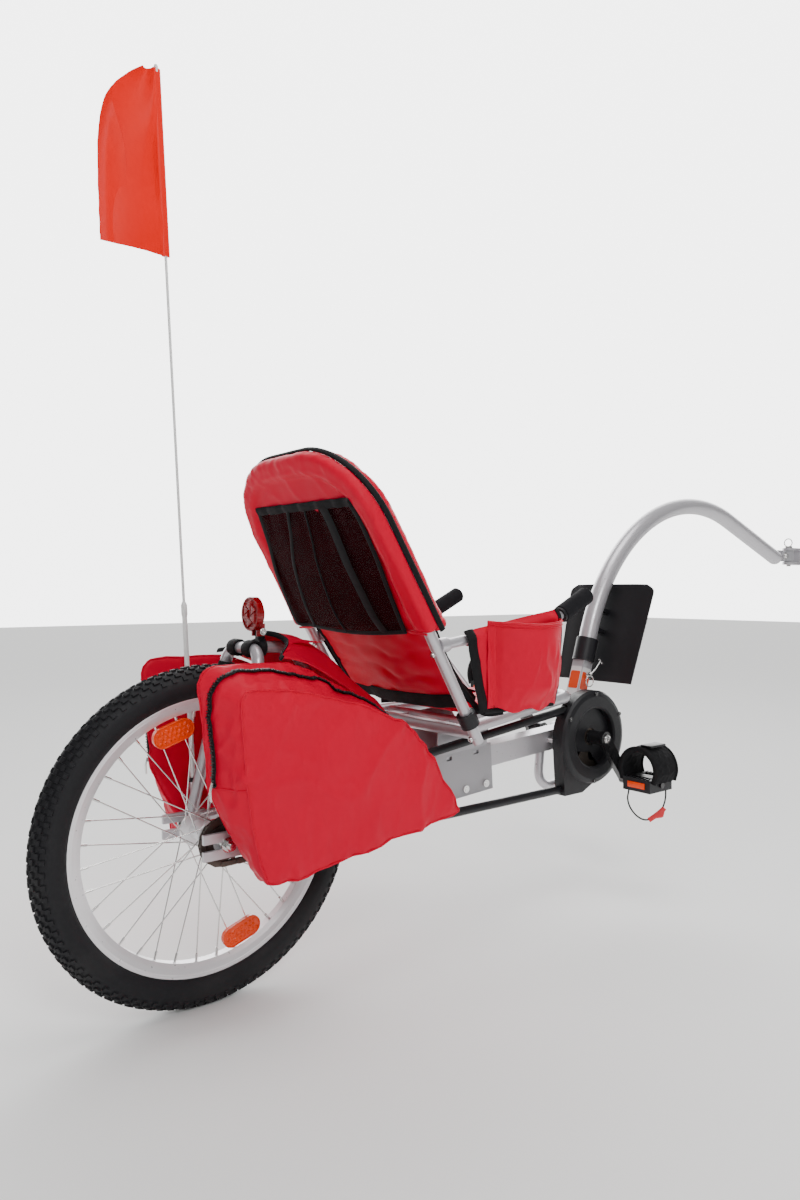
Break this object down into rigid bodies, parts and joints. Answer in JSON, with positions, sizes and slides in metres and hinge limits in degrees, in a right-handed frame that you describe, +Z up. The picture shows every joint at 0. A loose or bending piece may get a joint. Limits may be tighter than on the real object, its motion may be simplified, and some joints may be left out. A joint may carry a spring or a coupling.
{
  "type": "child bicycle trailer",
  "caption": "Single-wheel recumbent child trailer for a bicycle: reclined padded seat, pedal drive with chain case, panniers, flag and a curved tow arm with a seat-post hitch.",
  "frame": {"origin": "centre of the seat-post clamp's hole", "axes": "+X forward along the towing bicycle, +Y left, +Z up along the seat post"},
  "size_m": [2.1408, 0.4744, 1.4344],
  "materials": {
    "silver_paint": "satin silver paint",
    "black_metal": "satin black paint",
    "bright_steel": "zinc-plated steel",
    "drive_steel": "oiled dark steel",
    "alloy": "satin aluminium",
    "black_plastic": "moulded plastic",
    "red_fabric": "coated woven fabric",
    "flag_vinyl": "thin bright vinyl",
    "white_rod": "glass-fibre rod",
    "reflector_red": "clear red prisms",
    "reflector_orange": "clear orange prisms",
    "tyre_rubber": "matt rubber",
    "tube_rubber": "butyl rubber",
    "foam": "closed-cell foam",
    "black_strap": "padded webbing",
    "cord": "braided cord",
    "tag_red": "folded tape"
  },
  "bodies": {
    "frame": {"boom": "silver_paint", "bracket_bearings": "bright_steel", "chain_stays": "silver_paint", "dropouts": "silver_paint", "rear_hoop": "silver_paint", "top_tube": "silver_paint", "ground_guard": "silver_paint", "arm_post": "silver_paint", "rear_axle": "bright_steel", "axle_nuts": "bright_steel", "case_inner": "black_plastic", "case_outer": "black_plastic", "case_fixings": "bright_steel", "chain_tube_upper": "black_plastic", "chain_tube_lower": "black_plastic", "chain": "drive_steel", "pannier_right": "red_fabric", "pannier_left": "red_fabric", "pannier_saddle": "red_fabric", "reflector_bracket": "black_metal", "flag_pole": "white_rod", "flag": "flag_vinyl", "tow_arm": "silver_paint", "arm_sleeve": "black_plastic", "splash_plate": "black_plastic"},
    "reflector": {"rear_reflector": "reflector_red"},
    "arm_pin": {"arm_pin": "bright_steel"},
    "hitch_yoke": {"hitch_yoke": "silver_paint"},
    "hitch_clamp": {"hitch_clamp": "silver_paint"},
    "hitch_pin": {"hitch_pin": "bright_steel"},
    "rear_wheel": {"tyre": "tyre_rubber", "inner_tube": "tube_rubber", "rim": "alloy", "spokes": "bright_steel", "hub": "alloy", "spoke_reflectors": "reflector_orange"},
    "freewheel": {"freewheel": "drive_steel"},
    "crankset": {"crank_spindle": "bright_steel", "chainring": "drive_steel", "crank_right": "black_metal", "crank_left": "black_metal"},
    "pedal_right": {"pedal_right": "black_plastic", "foot_strap_right": "black_strap", "strap_cord_right": "cord", "cord_tag_right": "tag_red"},
    "pedal_left": {"pedal_left": "black_plastic", "foot_strap_left": "black_strap", "strap_cord_left": "cord", "cord_tag_left": "tag_red"},
    "seat": {"seat_carriage": "silver_paint", "carriage_bolts": "bright_steel", "seat_rails": "silver_paint", "back_frame": "silver_paint", "frame_collars": "black_metal", "armrests": "silver_paint", "grips": "foam", "back_cushion": "red_fabric", "seat_sling": "red_fabric", "side_panels": "red_fabric", "cup_pockets": "red_fabric"}
  },
  "joints": [
    {"name": "wheel_spin", "type": "hinge", "parent": "frame", "child": "rear_wheel", "pos_m": [-1.838, 0, -0.465], "axis": [0, 1, 0], "continuous": true},
    {"name": "crank_spin", "type": "hinge", "parent": "frame", "child": "crankset", "pos_m": [-1.009, 0, -0.399], "axis": [0, 1, 0], "continuous": true},
    {"name": "freewheel_spin", "type": "hinge", "parent": "frame", "child": "freewheel", "pos_m": [-1.838, 0, -0.465], "axis": [0, 1, 0], "continuous": true},
    {"name": "pedal_right_spin", "type": "hinge", "parent": "crankset", "child": "pedal_right", "pos_m": [-0.9428, -0.155, -0.48685], "axis": [0, 1, 0], "continuous": true},
    {"name": "pedal_left_spin", "type": "hinge", "parent": "crankset", "child": "pedal_left", "pos_m": [-1.0752, 0.155, -0.31115], "axis": [0, 1, 0], "continuous": true},
    {"name": "seat_slide", "type": "slide", "parent": "frame", "child": "seat", "axis": [0.9977, 0, 0.0674], "range_m": [-0.06, 0]},
    {"name": "reflector_tilt", "type": "hinge", "parent": "frame", "child": "reflector", "pos_m": [-1.744, 0, -0.162], "axis": [0, 1, 0], "range_deg": [-12, 12]},
    {"name": "arm_pin_pull", "type": "slide", "parent": "frame", "child": "arm_pin", "axis": [0, -1, 0], "range_m": [0, 0.045]},
    {"name": "hitch_pitch", "type": "hinge", "parent": "frame", "child": "hitch_yoke", "pos_m": [-0.109, 0, -0.002], "axis": [0, 1, 0], "range_deg": [-25, 25]},
    {"name": "hitch_yaw", "type": "hinge", "parent": "hitch_yoke", "child": "hitch_clamp", "pos_m": [-0.066, 0, 0], "axis": [0, 0, 1], "range_deg": [-60, 60]},
    {"name": "hitch_pin_pull", "type": "slide", "parent": "hitch_clamp", "child": "hitch_pin", "axis": [0, 0, 1], "range_m": [0, 0.055]}
  ],
  "couplings": [
    {"joint": "freewheel_spin", "follows": "crank_spin", "ratio": 2.125}
  ]
}
